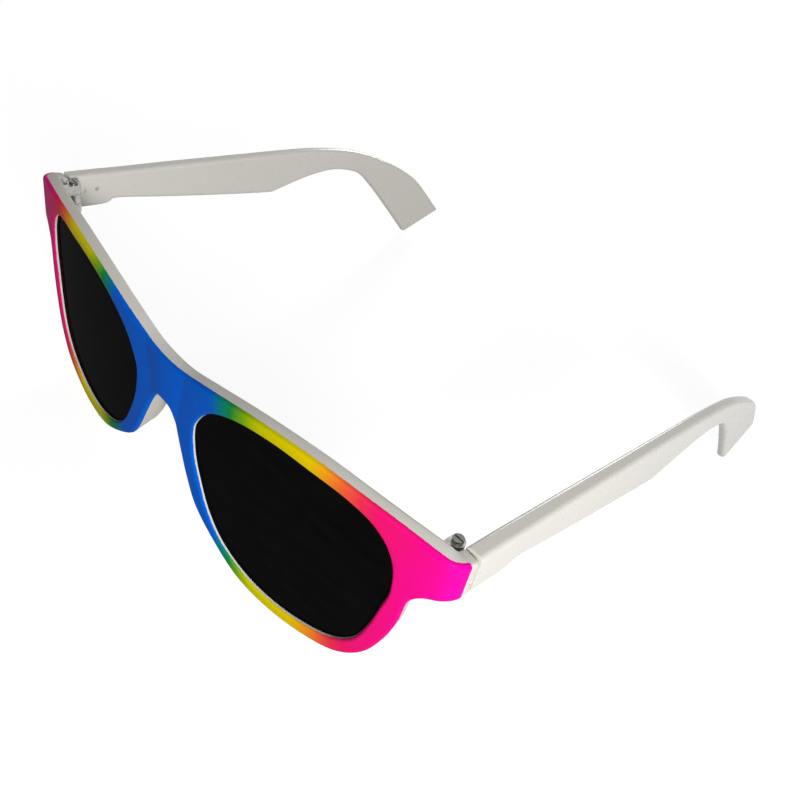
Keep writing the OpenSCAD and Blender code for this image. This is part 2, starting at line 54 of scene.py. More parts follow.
# Sizes of the front
FRONT_T = 3.8
GROOVE_LIP = 0.9
BASE_CURVE_R = 265.0
BROW_W = 2.9
RIM_BOTTOM_W = 2.7
RIM_SIDE_W = 4.0
RIM_NOSE_W = 4.8
BRIDGE_H = 10.9
BRIDGE_DROP = 2.8
EDGE_R = 0.7
BACK_EDGE_R = 1.2
BACK_EDGE_RUN = 8.0
PAD_DEPTH = 4.6
PAD_FLARE = math.radians(24)
END_W = 9.9
END_H = 8.8
END_DROP = 0.4
WRAP_R = 4.6
WRAP_RUN = 2.0

# Sizes of the arms
ARM_L = 142.0
ARM_T = 3.8
TIP_T = 2.4
TIP_DROP = 29.7
ARM_DEEP_H = 12.4
ARM_NECK_H = 6.6
TIP_W = 16.4
TIP_LEAN = 3.0
ARM_EDGE_R = 1.0
ARM_CROWN = 0.4
BLOCK_L = 10.0
STEP_H = 1.3
DEEP_S = 64.0
NECK_S = 88.0
TIP_CUT = math.radians(27)

# Sizes of the hinges and the clearances
BARREL_R = 1.5
HINGE_H = 7.4
LEAF_T = 0.8
LEAF_COVER = 0.8
LEAF_L = 9.0
LEAF_H = 5.6
FRONT_LEAF_W = 4.0
LEAF_WALL = 1.05
RIVET_PITCH = 4.2
RIVET_R = 0.55
RIVET_PAST = 0.8
ARM_PIN_SHARES = (0.38, 0.76)
LENS_GAP = 0.1
JOINT_GAP = 0.2
FIXED_GAP = 0.02
LEAF_GAP = 0.08
BARREL_SPACE = 0.3

# Small roundings of the arms' ends and of the metal pieces
ARM_END_R = 0.35
ARM_END_SEGMENTS = 3
ARM_END_ANGLE = math.radians(50)
METAL_EDGE_R = 0.08
METAL_EDGE_SEGMENTS = 2
METAL_EDGE_ANGLE = math.radians(40)

# A small round moulding mark on the side of each end piece, near the joint
MARK_R = 0.55
MARK_DEPTH = 0.3
MARK_BACK = 0.9
MARK_DROP = 0.9

# The bridge's face bulges forward between two soft valleys
VALLEY_DEPTH = 0.5
VALLEY_TOP_X = 7.0
VALLEY_ARCH_X = 5.2
VALLEY_RUN = 12.0
VALLEY_LOW = 12.0

# How finely the surfaces are divided
RIM_STEPS = 9
CUT_STEPS = 12
FACE_COLUMNS = 26
BEND_DENSITY = 4
SHARE_SAMPLES = 400
FILLET_STEPS = 5
ARM_STEPS = 9
PLATE_RINGS = 12
SMOOTH_ANGLE = math.radians(32)
ROD_SIDES = 48
CUT = 1.0

# How near the middle plane a point lies on it, and how near each other points are one,
# in millimetres, then the sides of the largest pinhole that is filled
MIDDLE_NEAR = 1e-6
MERGE_DISTANCE = 0.004
PINHOLE_SIDES = 6

# Main places on the front, in millimetres
lens_x = BRIDGE_W / 2 + LENS_W / 2
lens_z = RIM_BOTTOM_W + LENS_H / 2
lens_top = RIM_BOTTOM_W + LENS_H
lens_side = BRIDGE_W / 2 + LENS_W
half_w = lens_side + END_W
bridge_top = lens_top - BRIDGE_DROP
bridge_arch = bridge_top - BRIDGE_H
end_top = lens_top - END_DROP
end_low = end_top - END_H
hinge_z = end_top - END_H / 2
groove_w = LENS_T + FILM_T + 3 * LEAF_GAP

# The front's curve seen from above: an arc, a tight bend and a straight run
bend_x = half_w - WRAP_R
bend_start_angle = math.asin(bend_x / (BASE_CURVE_R - WRAP_R))
bend_start_u = BASE_CURVE_R * bend_start_angle
bend_l = WRAP_R * (math.pi / 2 - bend_start_angle)
end_u = bend_start_u + bend_l + WRAP_RUN
bend_y = BASE_CURVE_R - (BASE_CURVE_R - WRAP_R) * math.cos(bend_start_angle)
joint_y = bend_y + WRAP_RUN


def bend(spot):
    """A spot on the front: u across its flat pattern, z up and a depth behind its face."""
    u, z, depth = spot
    if u < bend_start_u:
        a = u / BASE_CURVE_R
        r = BASE_CURVE_R - depth
        return [r * math.sin(a), BASE_CURVE_R - r * math.cos(a), z]
    if u < bend_start_u + bend_l:
        a = bend_start_angle + (u - bend_start_u) / WRAP_R
        r = WRAP_R - depth
        return [bend_x + r * math.sin(a), bend_y - r * math.cos(a), z]
    return [half_w - depth, bend_y + u - bend_start_u - bend_l, z]


def mix(a, b, t):
    """The value at share t of the way from a to b."""
    return a + (b - a) * t


def clamp(share):
    return min(1, max(0, share))


def unit(v):
    return v / np.linalg.norm(v)


def left_of(v):
    return np.array([-v[1], v[0]])


# The curve's own measure runs by the root of the distance, and by no less than this
LEAST_KNOT = 0.001


def knot(a, b):
    """Step of the curve's own measure between two points."""
    return max(LEAST_KNOT, math.sqrt(np.linalg.norm(b - a)))


def curve_at(p0, p1, p2, p3, t):
    """A smooth curve from p1 to p2 that keeps close to the points where they are uneven."""
    d1, d2, d3 = knot(p0, p1), knot(p1, p2), knot(p2, p3)
    m1 = (p1 - p0) / d1 - (p2 - p0) / (d1 + d2) + (p2 - p1) / d2
    m2 = (p2 - p1) / d2 - (p3 - p1) / (d2 + d3) + (p3 - p2) / d3
    return (
        (2 * t**3 - 3 * t**2 + 1) * p1
        + (t**3 - 2 * t**2 + t) * d2 * m1
        + (3 * t**2 - 2 * t**3) * p2
        + (t**3 - t**2) * d2 * m2
    )


def curve(points, steps):
    """Points along the smooth curve from the second given point to just before the last
    but one; the two outer points only bend it."""
    return [
        curve_at(*points[i - 1:i + 3], j / steps)
        for i in range(1, len(points) - 2)
        for j in range(steps)
    ]


def lens_point(x, z):
    """A place given in half widths and half heights from the lens opening's centre."""
    return np.array([lens_x + x * LENS_W / 2, lens_z + z * LENS_H / 2])


def place(x, z):
    return np.array([x, z])


# The front's outline as pairs of a point on the lens opening and the point of the
# outer edge across the rim from it, then the depth of the nose pad there. The small
# numbers in the outer points are millimetres that shape the curve
RIM_PAIRS = [
    (lens_point(-0.89, 0.62), place(0, bridge_top), 0),
    (lens_point(-0.80, 0.73), place(BRIDGE_W * 0.28, bridge_top + 0.4), 0),
    (lens_point(-0.65, 0.835), place(BRIDGE_W / 2 + 2.3, lens_top - 0.9), 0),
    (lens_point(-0.43, 0.93), lens_point(-0.43, 1) + place(-1, BROW_W - 1.6), 0),
    (lens_point(-0.10, 0.995), lens_point(-0.12, 1) + place(0, BROW_W - 0.5), 0),
    (lens_point(0.22, 1.0), lens_point(0.25, 1) + place(0, BROW_W), 0),
    (lens_point(0.52, 0.985), lens_point(0.58, 1) + place(0, BROW_W - 0.3), 0),
    (lens_point(0.74, 0.92), place(lens_side - 1.5, end_top + 2.3), 0),
    (lens_point(0.87, 0.81), place(bend_start_u - 0.6, end_top + 1.2), 0),
    (lens_point(0.92, 0.73), place(end_u - 1.6, end_top), 0),
    (lens_point(0.935, 0.70), place(end_u - 0.4, end_top - 0.4), 0),
    (lens_point(0.945, 0.675), place(end_u, end_top - 1.5), 0),
    (lens_point(0.968, 0.605), place(end_u, end_low + 1.5), 0),
    (lens_point(0.973, 0.585), place(end_u - 0.4, end_low + 0.4), 0),
    (lens_point(0.976, 0.575), place(end_u - 1.6, end_low), 0),
    (lens_point(0.979, 0.56), place(bend_start_u + 3, end_low - 0.2), 0),
    (lens_point(0.99, 0.48), place(bend_start_u - 0.3, end_low - 1.3), 0),
    (lens_point(1.0, 0.27), place(lens_side + RIM_SIDE_W, end_low - 4.6), 0),
    (lens_point(0.965, 0.03), lens_point(1, -0.02) + place(RIM_SIDE_W - 1, 0), 0),
    (lens_point(0.915, -0.29), lens_point(0.915, -0.32) + place(RIM_SIDE_W - 0.2, 0), 0),
    (lens_point(0.82, -0.61), lens_point(0.86, -0.68) + place(RIM_BOTTOM_W - 1, -0.6), 0),
    (lens_point(0.64, -0.82), lens_point(0.66, -0.86) + place(1.4, 0.7 - RIM_BOTTOM_W), 0),
    (lens_point(0.33, -0.955), lens_point(0.35, -0.96) + place(0.4, -RIM_BOTTOM_W), 0),
    (lens_point(0.0, -1.0), lens_point(0, -1) + place(0, -RIM_BOTTOM_W), 0),
    (lens_point(-0.30, -0.955), lens_point(-0.32, -0.95) + place(-0.6, 0.1 - RIM_BOTTOM_W), 0),
    (lens_point(-0.59, -0.79), lens_point(-0.60, -0.80) + place(0.3 - RIM_NOSE_W / 2, -1.1), 0.8),
    (lens_point(-0.77, -0.55), lens_point(-0.77, -0.57) + place(0.8 - RIM_NOSE_W, -0.8), 3.4),
    (lens_point(-0.875, -0.30), lens_point(-0.875, -0.31) + place(0.3 - RIM_NOSE_W, -0.6),
     PAD_DEPTH),
    (lens_point(-0.965, -0.02), lens_point(-0.965, -0.03) + place(-RIM_NOSE_W, -0.6),
     PAD_DEPTH - 0.8),
    (lens_point(-0.995, 0.18), place(BRIDGE_W * 0.19, bridge_arch - 2.6), 1.8),
    (lens_point(-1.0, 0.31), place(BRIDGE_W * 0.107, bridge_arch - 0.4), 0.5),
    (lens_point(-0.985, 0.42), place(0, bridge_arch), 0),
]
openings = [pair[0] for pair in RIM_PAIRS]
edges = [pair[1] for pair in RIM_PAIRS]
pads = [np.array([pair[2]]) for pair in RIM_PAIRS]
cut_shares = [k / CUT_STEPS for k in range(1, CUT_STEPS)]


def across(p):
    """The same point on the other half of the front."""
    return np.array([-p[0], p[1]])


opening = (
    curve([openings[-1], *openings, openings[0]], RIM_STEPS)
    + [openings[-1]]
    + [curve_at(*openings[-2:], *openings[:2], t) for t in cut_shares]
)
outline = (
    curve([across(edges[1]), *edges, across(edges[-2])], RIM_STEPS)
    + [edges[-1]]
    + [place(0, mix(bridge_arch, bridge_top, t)) for t in cut_shares]
)
pad_depths = (
    [max(0, d[0]) for d in curve([pads[0], *pads, pads[-1]], RIM_STEPS)]
    + [0] * CUT_STEPS
)
station_count = len(opening)
rim_last = station_count - CUT_STEPS


def opening_normal(i):
    """Direction into the rim, square to the lens opening."""
    return unit(left_of(opening[(i + 1) % station_count] - opening[i - 1]))


def outline_normal(i):
    """Direction into the rim, square to its outer edge."""
    if i == 0:
        return place(0, -1)
    if i == rim_last:
        return place(0, 1)
    if i > rim_last:
        return place(0, 0)
    return -unit(left_of(outline[i + 1] - outline[i - 1]))


def column_shares(a, b):
    """Shares of the rim's width at which its faces have points, closer on the bend."""
    fine = np.linspace(0, 1, SHARE_SAMPLES)
    u = mix(a[0], b[0], fine)
    in_bend = (u > bend_start_u) & (u < bend_start_u + bend_l)
    weight = np.cumsum(np.where(in_bend, 1 + BEND_DENSITY, 1.0))
    weight = (weight - weight[0]) / (weight[-1] - weight[0])
    wanted = np.linspace(0, 1, FACE_COLUMNS + 2)[1:-1]
    return np.interp(wanted, weight, fine)


def deep(point, depth):
    """A point of the flat pattern at a depth behind the face."""
    return np.array([point[0], point[1], depth])


def fillet(corner, first, second, radius):
    """Round corner from the side that runs along first to the side along second."""
    centre = corner + (first + second) * radius
    turns = [k / FILLET_STEPS * math.pi / 2 for k in range(FILLET_STEPS + 1)]
    return [centre - radius * (math.cos(a) * second + math.sin(a) * first) for a in turns]


def bridge_relief(u, z):
    """How far the front face lies behind the plain curve, near the bridge."""
    edge = mix(VALLEY_ARCH_X, VALLEY_TOP_X, (z - bridge_arch) / BRIDGE_H)
    share = (u / edge) ** 2 if u < edge else max(0, 1 - (u - edge) / VALLEY_RUN) ** 2
    rise = clamp(1 - (bridge_arch - z) / VALLEY_LOW)
    return VALLEY_DEPTH * share * rise


# Straight back from the face, in the flat pattern
INWARD = np.array([0.0, 0.0, 1.0])


def pressed(point):
    """A point of the rim's section, with the bridge's relief if it lies near the face."""
    share = max(0, 1 - point[2] / GROOVE_LIP)
    return point + INWARD * bridge_relief(point[0], point[1]) * share


def rim_section(i):
    """The rim's section: front face, outer edge, back face, inner edge and lens groove."""
    a, m = opening[i], deep(opening_normal(i), 0)
    b, n = outline[i], deep(outline_normal(i), 0)
    pad = pad_depths[i]
    back = FRONT_T + pad
    flare = n[:2] * pad * math.tan(PAD_FLARE)
    a1, b1 = a + m[:2] * EDGE_R, b + n[:2] * EDGE_R
    back_r = mix(EDGE_R, BACK_EDGE_R, clamp((bend_start_u - b[0]) / BACK_EDGE_RUN))
    b2 = b + flare + n[:2] * back_r
    groove_end = GROOVE_LIP + groove_w
    face = [deep(mix(a1, b1, t), 0) for t in column_shares(a1, b1)]
    behind = [
        deep(mix(a1, b2, t), FRONT_T + pad * t**2)
        for t in column_shares(a1, b1)[::-1]
    ]
    inner_edge = fillet(deep(a, 0), INWARD, m, EDGE_R)
    outer_edge = fillet(deep(b, 0), n, INWARD, EDGE_R)
    return (
        [pressed(p) for p in inner_edge + face + outer_edge]
        + fillet(deep(b + flare, back), -INWARD, n, back_r)
        + behind
        + fillet(deep(a, FRONT_T), m, -INWARD, EDGE_R)
        + [deep(a, groove_end), deep(a, groove_end) + m * GROOVE_D]
        + [deep(a, GROOVE_LIP) + m * GROOVE_D, deep(a, GROOVE_LIP)]
    )


# The arm's own frame: s runs back from the joint along its top edge, and h is the
# height from the middle of the hinge
corner_s = ARM_L - TIP_W * math.cos(TIP_CUT)
arm_slope = math.asin(hinge_z / math.hypot(corner_s, TIP_DROP)) - math.atan(TIP_DROP / corner_s)
arm_top = END_H / 2
tail_s = ARM_L - NECK_S


def arm_place(s, h):
    """The part's y and z of a point in the arm's own frame."""
    return (
        joint_y + JOINT_GAP + s * math.cos(arm_slope) + h * math.sin(arm_slope),
        hinge_z - s * math.sin(arm_slope) + h * math.cos(arm_slope),
    )


def end_point(h):
    """A point on the arm's end, which stands upright at the joint."""
    return place(-h * math.tan(arm_slope), h)


step_low = STEP_H - arm_top
deep_low = arm_top + ARM_CROWN - ARM_DEEP_H
rise_low = mix(deep_low, arm_top - ARM_NECK_H, 0.6)

# Pairs of a point on the top edge and the point of the lower edge below it. The small
# numbers are millimetres that shape the curve
ARM_PAIRS = [
    (end_point(arm_top), end_point(-arm_top)),
    (place(BLOCK_L - 2, arm_top + 0.1), place(BLOCK_L - 1.2, 0.2 - arm_top)),
    (place(BLOCK_L, arm_top + 0.1), place(BLOCK_L + 0.2, 0.5 - arm_top)),
    (place(BLOCK_L + 1, arm_top + 0.1), place(BLOCK_L + 1.4, step_low)),
    (place(BLOCK_L + 4, arm_top + 0.1), place(BLOCK_L + 4, step_low)),
    (place(DEEP_S * 0.42, arm_top + 0.3), place(DEEP_S * 0.42, mix(step_low, deep_low, 0.3))),
    (place(DEEP_S * 0.72, arm_top + 0.4), place(DEEP_S * 0.72, mix(step_low, deep_low, 0.7))),
    (place(DEEP_S - 1.6, arm_top + 0.5), place(DEEP_S - 1.6, deep_low + 0.1)),
    (place(DEEP_S, arm_top + 0.5), place(DEEP_S, deep_low + 0.1)),
    (place(DEEP_S + 2, arm_top + 0.5), place(DEEP_S + 1.6, deep_low + 0.5)),
    (place(mix(DEEP_S, NECK_S, 0.54), arm_top + 0.4), place(mix(DEEP_S, NECK_S, 0.46), rise_low)),
    (place(NECK_S, arm_top - 0.4), place(NECK_S - 3, arm_top - 0.4 - ARM_NECK_H)),
    (place(NECK_S + 0.19 * tail_s, arm_top - 2.1),
     place(NECK_S + 0.07 * tail_s, arm_top - 0.7 - ARM_NECK_H)),
    (place(NECK_S + 0.38 * tail_s, arm_top - 0.18 * TIP_DROP),
     place(NECK_S + 0.21 * tail_s, -0.17 * TIP_DROP)),
    (place(NECK_S + 0.56 * tail_s, arm_top - 0.31 * TIP_DROP),
     place(NECK_S + 0.35 * tail_s, -0.36 * TIP_DROP)),
    (place(NECK_S + 0.73 * tail_s, arm_top - 0.48 * TIP_DROP),
     place(NECK_S + 0.49 * tail_s, -0.59 * TIP_DROP)),
    (place(NECK_S + 0.89 * tail_s, arm_top - 0.72 * TIP_DROP),
     place(NECK_S + 0.62 * tail_s, -0.81 * TIP_DROP)),
    (place(ARM_L, TIP_W * math.sin(TIP_CUT) - TIP_DROP), place(corner_s, -TIP_DROP)),
]
whole_depth = arm_place(*ARM_PAIRS[-1][0])[0]


def line_through(points, steps):
    """Points along the smooth curve through all the given points."""
    return curve([points[0], *points, points[-1]], steps) + [points[-1]]


def arm_out(s):
    """The part's x of the arm's outer side, which leans in towards the tip."""
    share = clamp((s - DEEP_S) / (ARM_L - DEEP_S))
    return half_w - TIP_LEAN * share**2


def arm_thick(s):
    share = clamp((s - BLOCK_L) / (ARM_L - BLOCK_L))
    return mix(ARM_T, TIP_T, share)


# Shares of a flat side of the arm at which it has points, close to its rounded edges
FLAT_SHARES = (0.02, 0.2, 0.4, 0.6, 0.8, 0.98)


def arm_section(low, top):
    """Rounded section of the arm between a point of the lower edge and one of the top."""
    up = unit(top - low)
    height = np.linalg.norm(top - low)
    thick = arm_thick((low[0] + top[0]) / 2)
    r = ARM_EDGE_R
    v_up, v_in = np.array([0.0, 1.0]), np.array([1.0, 0.0])
    corners = [
        fillet(v_in * thick, v_up, -v_in, r),
        fillet(v_in * 0, v_in, v_up, r),
        fillet(v_up * height, -v_up, v_in, r),
        fillet(v_in * thick + v_up * height, -v_in, -v_up, r),
    ]
    section = []
    for k, corner in enumerate(corners):
        after = corners[(k + 1) % len(corners)][0]
        section += corner + [mix(corner[-1], after, t) for t in FLAT_SHARES]
    points = []
    for inward, height_up in section:
        s, h = low + up * height_up
        y, z = arm_place(s, h)
        points.append([arm_out(s) - inward, y, z])
    return points


def new_piece(name, points, faces, side=1):
    """A smooth closed mesh piece, in metres, mirrored for the left side."""
    points = np.array(points, float)
    points[:, 1] -= whole_depth / 2
    points[:, 0] *= side
    mesh = bpy.data.meshes.new(name)
    mesh.from_pydata((points * MM).tolist(), [], [f[::side] for f in faces])
    mesh.validate()
    shaped = bmesh.new()
    shaped.from_mesh(mesh)
    bmesh.ops.recalc_face_normals(shaped, faces=shaped.faces)
    shaped.to_mesh(mesh)
    shaped.free()
    mesh.shade_smooth()
    mesh.set_sharp_from_angle(angle=SMOOTH_ANGLE)
    piece = bpy.data.objects.new(name, mesh)
    bpy.context.scene.collection.objects.link(piece)
    return piece


def ring_faces(rows, columns):
    """Faces between neighbouring rows of points, the last row joined to the first."""
    return [
        [i * columns + j, i * columns + (j + 1) % columns,
         (i + 1) % rows * columns + (j + 1) % columns, (i + 1) % rows * columns + j]
        for i in range(rows)
        for j in range(columns)
    ]


# Width left bare round the lens openings, how far the paint passes the rounded outer
# edge, and how far short of the joint it stops
BARE_RIM = 0.2
PAINT_PAST = 0.25
PAINT_SHORT = 2.4


def painted_lengths(section):
    """How far each point of the section lies inside the paint, in millimetres. The paint
    ends just past the rounded outer edge, and all points behind the next fillet are bare."""
    edge_end = 2 * (FILLET_STEPS + 1) + FACE_COLUMNS - 1
    steps = [np.linalg.norm(q - p) for p, q in zip(section, section[1:])]
    along = np.concatenate([[0], np.cumsum(steps)])
    inside = np.minimum(along - BARE_RIM, along[edge_end] + PAINT_PAST - along)
    inside = np.minimum(inside, end_u - PAINT_SHORT - np.array([p[0] for p in section]))
    inside[edge_end + 1 + FILLET_STEPS:] = -1
    return inside


# The sprayed bands lean: their middle lies left of the front's at the top and right of
# it below, less so towards the ends
SPRAY_SHIFT_TOP = 3.4
SPRAY_SHIFT_LOW = -1.7
SPRAY_SHIFT_END = 60.0


def spray_place(u, z):
    """Distance from the middle of the sprayed bands, for u along the front, left below 0."""
    shift = mix(SPRAY_SHIFT_LOW, SPRAY_SHIFT_TOP, z / lens_top)
    return abs(u + shift * max(0, 1 - abs(u) / SPRAY_SHIFT_END))


def add_values(piece, name, values):
    """One value for each point, kept at the corners of the faces, where cuts spare it."""
    points = np.empty(len(piece.data.loops), int)
    piece.data.loops.foreach_get("vertex_index", points)
    kept = piece.data.attributes.new(name, "FLOAT", "CORNER")
    kept.data.foreach_set("value", np.array(values, float)[points])


def make_front():
    """Both halves of the front, joined at the middle without faces there."""
    sections = [rim_section(i) for i in range(station_count)]
    columns = len(sections[0])
    flat = [p for section in sections for p in section]
    half = np.array([bend(p) for p in flat])
    count, on_middle = len(half), half[:, 0] < MIDDLE_NEAR
    faces = [f for f in ring_faces(station_count, columns) if not all(on_middle[f])]
    other = [[k if on_middle[k] else k + count for k in f[::-1]] for f in faces]
    points = np.concatenate([half, half * [-1, 1, 1]])
    piece = new_piece("front_shell", points, faces + other)
    spans = [spray_place(p[0] * side, p[1]) for side in SIDES.values() for p in flat]
    paint = [d for section in sections for d in painted_lengths(section)]
    add_values(piece, "span", spans)
    add_values(piece, "paint", paint + paint)
    mend(piece.data)
    for side in SIDES.values():
        cut_away(piece, front_slots(), side)
    mend(piece.data)  # clears what the last cut's own mending still leaves
    return piece


def box(low, high):
    """A closed box between two corners."""
    size = Matrix.Diagonal((*(high - low), 1.0))
    shaped = bmesh.new()
    bmesh.ops.create_cube(shaped, size=1, matrix=Matrix.Translation((low + high) / 2) @ size)
    return shaped


def rod(start, end, radius):
    """A closed round rod between two points."""
    turn = (end - start).to_track_quat("Z", "Y").to_matrix().to_4x4()
    shaped = bmesh.new()
    bmesh.ops.create_cone(
        shaped, cap_ends=True, segments=ROD_SIDES, radius1=radius, radius2=radius,
        depth=(end - start).length, matrix=Matrix.Translation((start + end) / 2) @ turn)
    return shaped


# The hinge's axis, its barrels and its leaf in the front, as in the part's source
axis_x = half_w - ARM_T - BARREL_R - BARREL_SPACE
axis_y = joint_y
barrel_h = (HINGE_H - 2 * LEAF_GAP) / 3
barrel_pitch = barrel_h + LEAF_GAP
leaf_u = bend_start_u - FRONT_LEAF_W / 2 - LEAF_WALL
leaf_depth = FRONT_T - LEAF_COVER - LEAF_T
arm_face_x = half_w - ARM_T
arm_leaf_x = arm_face_x + LEAF_COVER
pin_l = LEAF_COVER + LEAF_T + RIVET_PAST


def front_slots():
    """Slots for the two webs and holes for the two pins, and the mark on the end's side."""
    slots = []
    angle = leaf_u / BASE_CURVE_R
    along = Vector((math.cos(angle), math.sin(angle), 0))
    back = Vector((-math.sin(angle), math.cos(angle), 0))
    leaf_y = bend((leaf_u, 0, leaf_depth + LEAF_T / 2))[1]
    for level in (-1, 1):
        z = hinge_z + level * barrel_pitch
        half_h = barrel_h / 2 + LEAF_GAP
        slots.append(box(
            Vector((axis_x - BARREL_R - LEAF_GAP, leaf_y, z - half_h)),
            Vector((axis_x + LEAF_GAP, axis_y, z + half_h))))
        pin = Vector(bend((leaf_u, hinge_z + level * RIVET_PITCH / 2, leaf_depth)))
        pin -= along * FRONT_LEAF_W / 4
        pin_end = pin + back * (LEAF_T + LEAF_COVER + CUT)
        slots.append(rod(pin - back * RIVET_PAST, pin_end, RIVET_R + FIXED_GAP))
    mark = Vector((half_w, joint_y - MARK_BACK, hinge_z - MARK_DROP))
    out = Vector((1, 0, 0))
    slots.append(rod(mark - out * MARK_DEPTH, mark + out * CUT, MARK_R))
    return slots


def arm_slots():
    """The leaf's slot in the arm's end, then the slot of its web and the holes of its pins."""
    start = axis_y + JOINT_GAP + LEAF_GAP - CUT
    leaf_half, web_half = LEAF_H / 2 + LEAF_GAP, barrel_h / 2 + LEAF_GAP
    leaf_slot = box(
        Vector((arm_leaf_x - LEAF_GAP, start, hinge_z - leaf_half)),
        Vector((arm_leaf_x + LEAF_T + LEAF_GAP, axis_y + LEAF_L + LEAF_GAP, hinge_z + leaf_half)))
    slots = [box(
        Vector((axis_x, start, hinge_z - web_half)),
        Vector((arm_leaf_x + LEAF_T / 2, axis_y + BARREL_R + LEAF_GAP, hinge_z + web_half)))]
    for share in ARM_PIN_SHARES:
        pin_y = axis_y + LEAF_L * share
        slots.append(rod(
            Vector((arm_face_x - CUT, pin_y, hinge_z)),
            Vector((arm_face_x + pin_l + LEAF_GAP, pin_y, hinge_z)), RIVET_R + FIXED_GAP))
    return [leaf_slot], slots


def cut_away(piece, shapes, side):
    """Cuts closed shapes, given in the part's millimetres, out of a piece."""
    points, faces = [], []
    for shape in shapes:
        first = len(points)
        points += [list(v.co) for v in shape.verts]
        faces += [[first + v.index for v in f.verts] for f in shape.faces]
        shape.free()
    tool = new_piece("cutter", points, faces, side)
    for name in ("span", "paint"):
        add_values(tool, name, np.full(len(points), -1.0))
    cut = piece.modifiers.new("slots", "BOOLEAN")
    cut.operation = "DIFFERENCE"
    cut.solver = "EXACT"
    cut.object = tool
    graph = bpy.context.evaluated_depsgraph_get()
    mesh = bpy.data.meshes.new_from_object(
        piece.evaluated_get(graph), preserve_all_data_layers=True, depsgraph=graph)
    piece.modifiers.clear()
    piece.data = mesh
    mend(mesh)
    mesh.set_sharp_from_angle(angle=SMOOTH_ANGLE)
    bpy.data.objects.remove(tool)


def mend(mesh):
    """Merges points that lie on each other, fills pinholes and drops flaps and loose parts."""
    near = MERGE_DISTANCE * MM
    shaped = bmesh.new()
    shaped.from_mesh(mesh)
    bmesh.ops.remove_doubles(shaped, verts=shaped.verts, dist=near)
    bmesh.ops.dissolve_degenerate(shaped, edges=shaped.edges, dist=near)
    rims = [e for e in shaped.edges if e.is_boundary]
    bmesh.ops.holes_fill(shaped, edges=rims, sides=PINHOLE_SIDES)
    bmesh.ops.triangulate(shaped, faces=[f for f in shaped.faces if len(f.verts) > 4])
    shaped.verts.index_update()
    sharing = {}
    for face in shaped.faces:
        sharing.setdefault(frozenset(v.index for v in face.verts), []).append(face)
    flaps = [f for group in sharing.values() if len(group) > 1 for f in group]
    bmesh.ops.delete(shaped, geom=flaps, context="FACES_ONLY")
    loose = [e for e in shaped.edges if not e.link_faces]
    bmesh.ops.delete(shaped, geom=loose, context="EDGES")
    loose = [v for v in shaped.verts if not v.link_faces]
    bmesh.ops.delete(shaped, geom=loose, context="VERTS")
    shaped.to_mesh(mesh)
    shaped.free()


def make_plate(name, margin, near, far, side):
    """A plate on the front's curve, cut to the lens opening plus a margin."""
    rim = [opening[i] + opening_normal(i) * margin for i in range(station_count)]
    centre = place(lens_x, lens_z)
    rings = [k / PLATE_RINGS for k in range(1, PLATE_RINGS + 1)]
    layers = [(t, near) for t in rings] + [(t, far) for t in reversed(rings)]
    points = [bend(deep(mix(centre, p, t), d)) for t, d in layers for p in rim]
    n, rows = station_count, len(layers)
    faces = [f for f in ring_faces(rows, n) if max(f) < rows * n and f[0] // n + 1 < rows]
    points += [bend(deep(centre, near)), bend(deep(centre, far))]
    first, last = (rows - 1) * n, rows * n
    faces += [[last, (i + 1) % n, i] for i in range(n)]
    faces += [[last + 1, first + i, first + (i + 1) % n] for i in range(n)]
    return new_piece(name, points, faces, side)


def round_edges(thing, name, radius, segments, angle):
    """Rounds the edges at which a mesh turns by more than an angle."""
    soften = thing.modifiers.new(name, "BEVEL")
    soften.width = radius * MM
    soften.segments = segments
    soften.limit_method = "ANGLE"
    soften.angle_limit = angle


def make_arm(side_name):
    """One arm, lofted through its sections, with the pockets of its hinge."""
    tops = line_through([pair[0] for pair in ARM_PAIRS], ARM_STEPS)
    lows = line_through([pair[1] for pair in ARM_PAIRS], ARM_STEPS)
    sections = [arm_section(low, top) for low, top in zip(lows, tops)]
    columns, rows = len(sections[0]), len(sections)
    points = [p for section in sections for p in section]
    faces = [f for f in ring_faces(rows, columns) if f[0] // columns + 1 < rows]
    faces += [list(range(columns))[::-1], list(range((rows - 1) * columns, rows * columns))]
    arm = new_piece(f"arm_{side_name}_shell", points, faces, SIDES[side_name])
    round_edges(arm, "round_ends", ARM_END_R, ARM_END_SEGMENTS, ARM_END_ANGLE)
    for shapes in arm_slots():
        cut_away(arm, shapes, SIDES[side_name])
    return arm


def colour(red, green, blue):
    """A colour given as it shows on a screen, from 0 to 255, turned into linear values."""
    def linear(value):
        value /= 255
        return value / 12.92 if value <= 0.04045 else ((value + 0.055) / 1.055) ** 2.4
    return (linear(red), linear(green), linear(blue), 1.0)


# Most of a noise lies between these
NOISE_MIDDLE = (0.3, 0.7)


